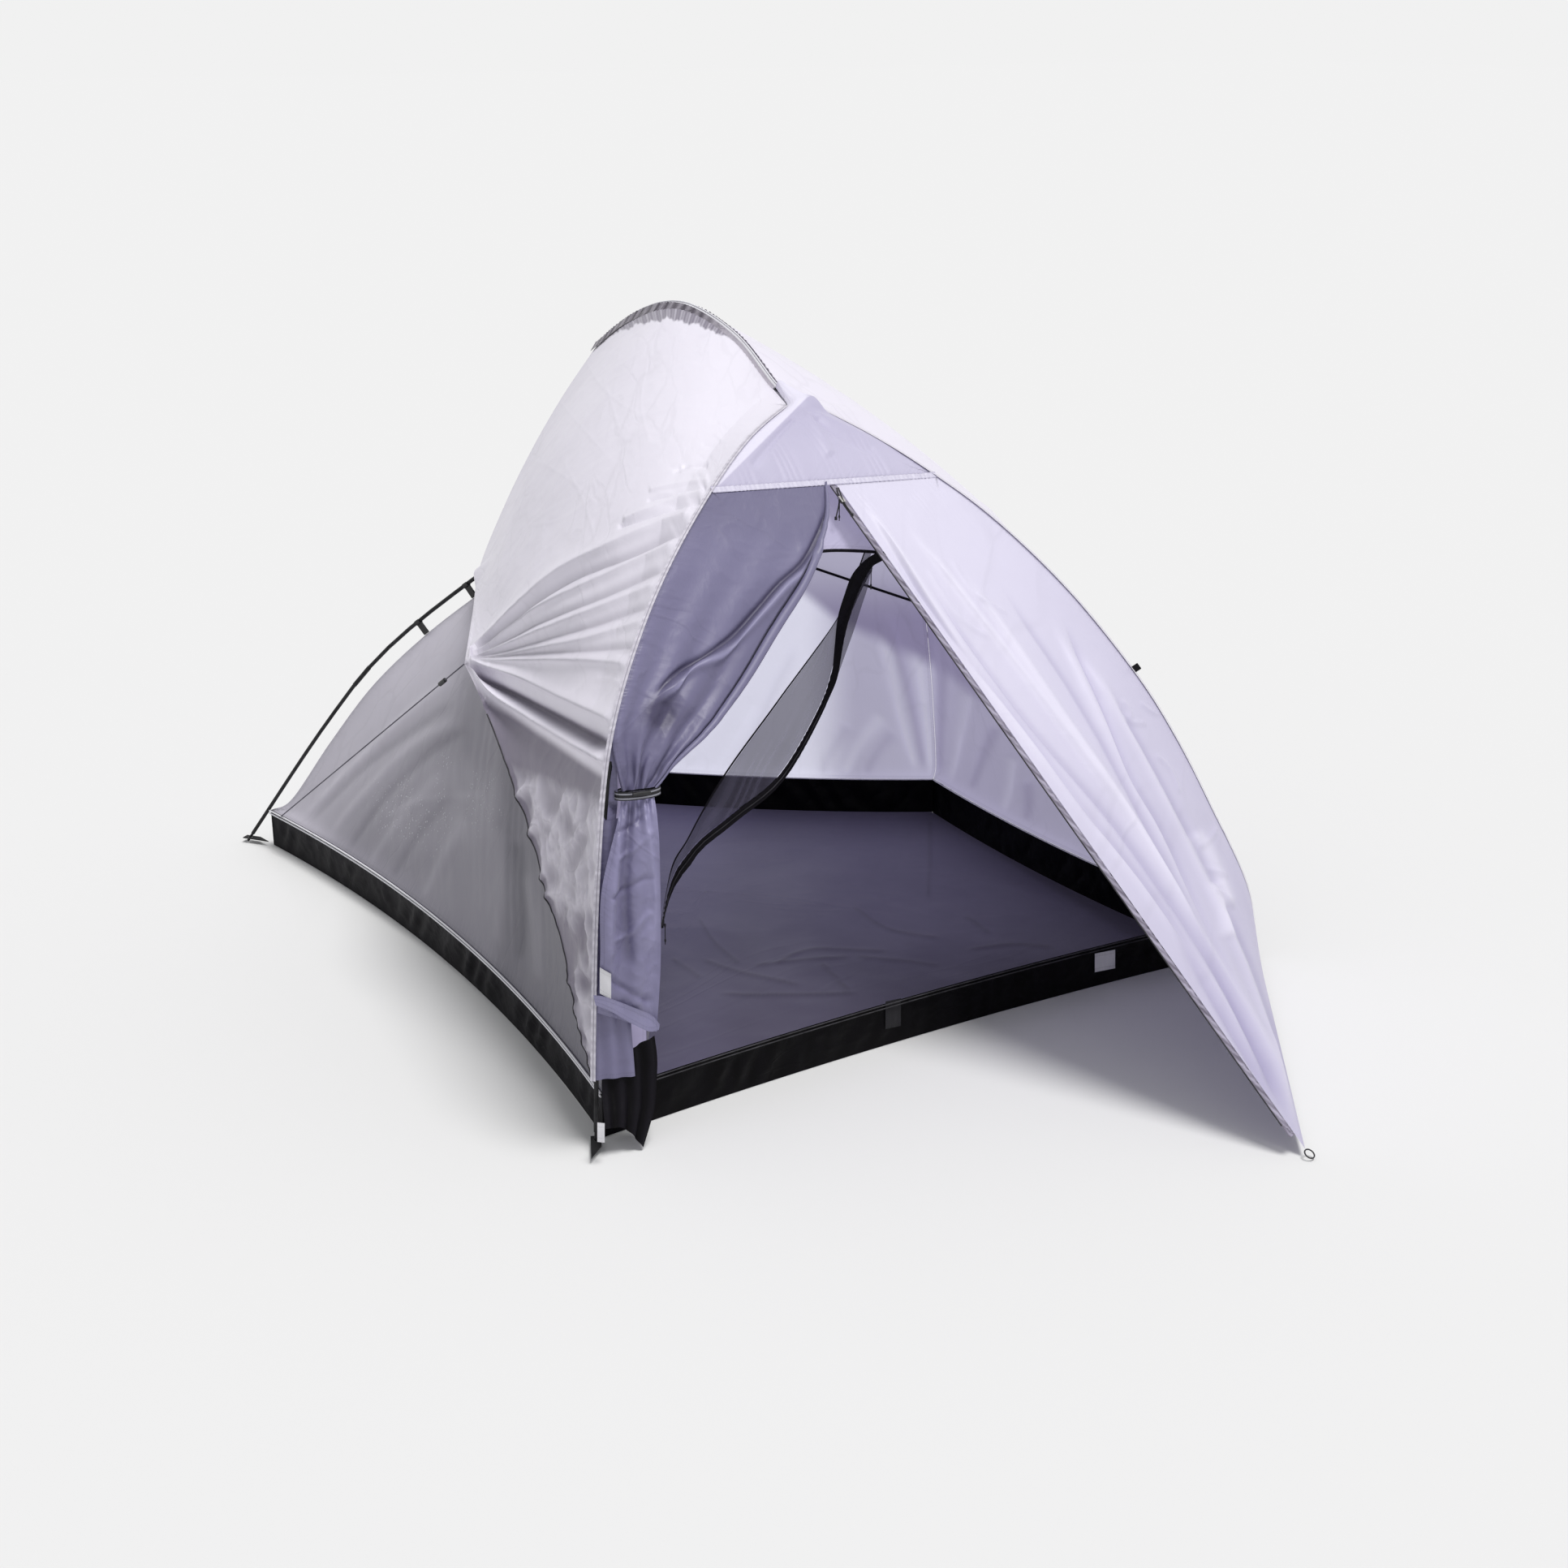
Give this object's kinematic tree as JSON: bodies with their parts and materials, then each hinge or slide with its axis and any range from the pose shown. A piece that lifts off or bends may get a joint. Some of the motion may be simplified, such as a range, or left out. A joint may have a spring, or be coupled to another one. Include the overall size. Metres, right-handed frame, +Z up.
{
  "type": "ultralight dome tent",
  "caption": "Pitched ultralight dome tent with bent pole legs on a hub, bathtub floor, open mesh door and a partial fly whose left porch door is tied back.",
  "frame": {"origin": "middle of the groundsheet's underside", "axes": "+Z up, +Y from the door to the back, +X along the door side to the right as seen from the door"},
  "size_m": [1.5671, 2.379, 1.2392],
  "materials": {
    "silver_fly": "matte",
    "grey_inner": "matte",
    "black_bathtub": "matte",
    "purple_floor": "matte",
    "black_mesh": "matte",
    "black_webbing": "matte",
    "black_pole": "satin",
    "black_plastic": "matte",
    "grey_cord": "matte"
  },
  "bodies": {
    "tent": {"bathtub_front": "black_bathtub", "bathtub_left": "black_bathtub", "bathtub_rear_left": "black_bathtub", "bathtub_rear_right": "black_bathtub", "bathtub_right": "black_bathtub", "corner_tab_front_left": "black_webbing", "corner_tab_front_right": "black_webbing", "corner_tab_left_rear": "black_webbing", "corner_tab_right_rear": "black_webbing", "door_tip_flap": "black_webbing", "fly_crown_sleeve": "silver_fly", "fly_door_left": "silver_fly", "fly_door_left_tail": "silver_fly", "fly_door_right": "silver_fly", "fly_front_left_strip": "silver_fly", "fly_hood_left": "silver_fly", "fly_hood_right": "silver_fly", "fly_porch_top": "silver_fly", "fly_zip_tape": "black_webbing", "front_peg_loop": "black_webbing", "groundsheet": "purple_floor", "guy_cord_left": "grey_cord", "guy_cord_right": "grey_cord", "inner_door_zip_tape": "black_webbing", "inner_front_left": "grey_inner", "inner_front_right": "grey_inner", "inner_front_top": "grey_inner", "inner_mesh_door": "black_mesh", "inner_wall_left": "grey_inner", "inner_wall_rear_left": "grey_inner", "inner_wall_rear_right": "grey_inner", "inner_wall_right": "grey_inner", "inner_zip_slider_lower": "black_plastic", "inner_zip_slider_upper": "black_plastic", "pole_front_left_1": "black_pole", "pole_front_left_2": "black_pole", "pole_front_right_1": "black_pole", "pole_front_right_2": "black_pole", "pole_hub": "black_plastic", "pole_left_rear_1": "black_pole", "pole_left_rear_2": "black_pole", "pole_left_rear_3": "black_pole", "pole_ridge": "black_pole", "pole_right_rear_1": "black_pole", "pole_right_rear_2": "black_pole", "tieback_strap": "black_webbing"},
    "fly_zip_pull_body": {"fly_zip_pull": "grey_cord"},
    "fly_zip_slider_body": {"fly_zip_slider": "black_plastic"},
    "guy_adjuster_left_body": {"guy_adjuster_left": "black_plastic"},
    "guy_adjuster_right_body": {"guy_adjuster_right": "black_plastic"},
    "hook_clip_front_left_1_body": {"hook_clip_front_left_1": "black_plastic"},
    "hook_clip_front_right_1_body": {"hook_clip_front_right_1": "black_plastic"},
    "hook_clip_left_rear_1_body": {"hook_clip_left_rear_1": "black_plastic"},
    "hook_clip_left_rear_2_body": {"hook_clip_left_rear_2": "black_plastic"},
    "hook_clip_right_rear_1_body": {"hook_clip_right_rear_1": "black_plastic"},
    "hook_clip_right_rear_2_body": {"hook_clip_right_rear_2": "black_plastic"},
    "inner_zip_pull_lower_body": {"inner_zip_pull_lower": "grey_cord"},
    "inner_zip_pull_upper_body": {"inner_zip_pull_upper": "grey_cord"},
    "side_guy_tab_body": {"side_guy_tab": "black_webbing"},
    "tieback_toggle_body": {"tieback_toggle": "black_plastic"}
  },
  "joints": [
    {"name": "fly_zip_travel", "type": "slide", "parent": "tent", "child": "fly_zip_slider_body", "axis": [0.175, -0.7247, -0.6665], "range_m": [0, 1.33]},
    {"name": "fly_zip_pull_swing", "type": "hinge", "parent": "fly_zip_slider_body", "child": "fly_zip_pull_body", "pos_m": [-0.00643, -0.47291, 0.95571], "axis": [-0.9699, -0.2435, 0.0101], "range_deg": [-15, 45]},
    {"name": "inner_zip_pull_lower_swing", "type": "hinge", "parent": "tent", "child": "inner_zip_pull_lower_body", "pos_m": [-0.45382, -0.59191, 0.25769], "axis": [-1, 0, 0], "range_deg": [-3, 50]},
    {"name": "inner_zip_pull_upper_swing", "type": "hinge", "parent": "tent", "child": "inner_zip_pull_upper_body", "pos_m": [0.06381, -0.47635, 0.81687], "axis": [-1, 0, 0], "range_deg": [-3, 50]},
    {"name": "guy_adjuster_left_travel", "type": "slide", "parent": "tent", "child": "guy_adjuster_left_body", "axis": [-0.1015, 0.8298, -0.5487], "range_m": [-0.08, 0.65]},
    {"name": "guy_adjuster_right_travel", "type": "slide", "parent": "tent", "child": "guy_adjuster_right_body", "axis": [0.145, 0.6483, -0.7475], "range_m": [-0.08, 0.55]},
    {"name": "side_guy_tab_swing", "type": "hinge", "parent": "tent", "child": "side_guy_tab_body", "pos_m": [0.55407, -0.66852, 0.59052], "axis": [-0.4465, 0.4253, 0.7873], "range_deg": [-30, 30]},
    {"name": "tieback_toggle_turn", "type": "hinge", "parent": "tent", "child": "tieback_toggle_body", "pos_m": [-0.61057, -0.80719, 0.602], "axis": [-0.1699, -0.9855, 0], "range_deg": [-60, 60]},
    {"name": "hook_clip_front_left_1_swivel", "type": "hinge", "parent": "tent", "child": "hook_clip_front_left_1_body", "pos_m": [-0.48, -0.63608, 0.8705], "axis": [0.6716, 0.5233, 0.5244], "range_deg": [-8, 8]},
    {"name": "hook_clip_front_right_1_swivel", "type": "hinge", "parent": "tent", "child": "hook_clip_front_right_1_body", "pos_m": [0.57988, -0.6931, 0.51908], "axis": [-0.4159, 0.3961, 0.8186], "range_deg": [-8, 8]},
    {"name": "hook_clip_left_rear_1_swivel", "type": "hinge", "parent": "tent", "child": "hook_clip_left_rear_1_body", "pos_m": [-0.45021, 0.47823, 0.56799], "axis": [0.4721, -0.6223, 0.6245], "range_deg": [-8, 8]},
    {"name": "hook_clip_left_rear_2_swivel", "type": "hinge", "parent": "tent", "child": "hook_clip_left_rear_2_body", "pos_m": [-0.37745, 0.38232, 0.66045], "axis": [0.4847, -0.6389, 0.5975], "range_deg": [-8, 8]},
    {"name": "hook_clip_right_rear_1_swivel", "type": "hinge", "parent": "tent", "child": "hook_clip_right_rear_1_body", "pos_m": [0.6782, 0.15935, 0.45947], "axis": [-0.2504, -0.151, 0.9563], "range_deg": [-8, 8]},
    {"name": "hook_clip_right_rear_2_swivel", "type": "hinge", "parent": "tent", "child": "hook_clip_right_rear_2_body", "pos_m": [0.54232, 0.07739, 0.7805], "axis": [-0.5565, -0.3357, 0.76], "range_deg": [-8, 8]}
  ]
}
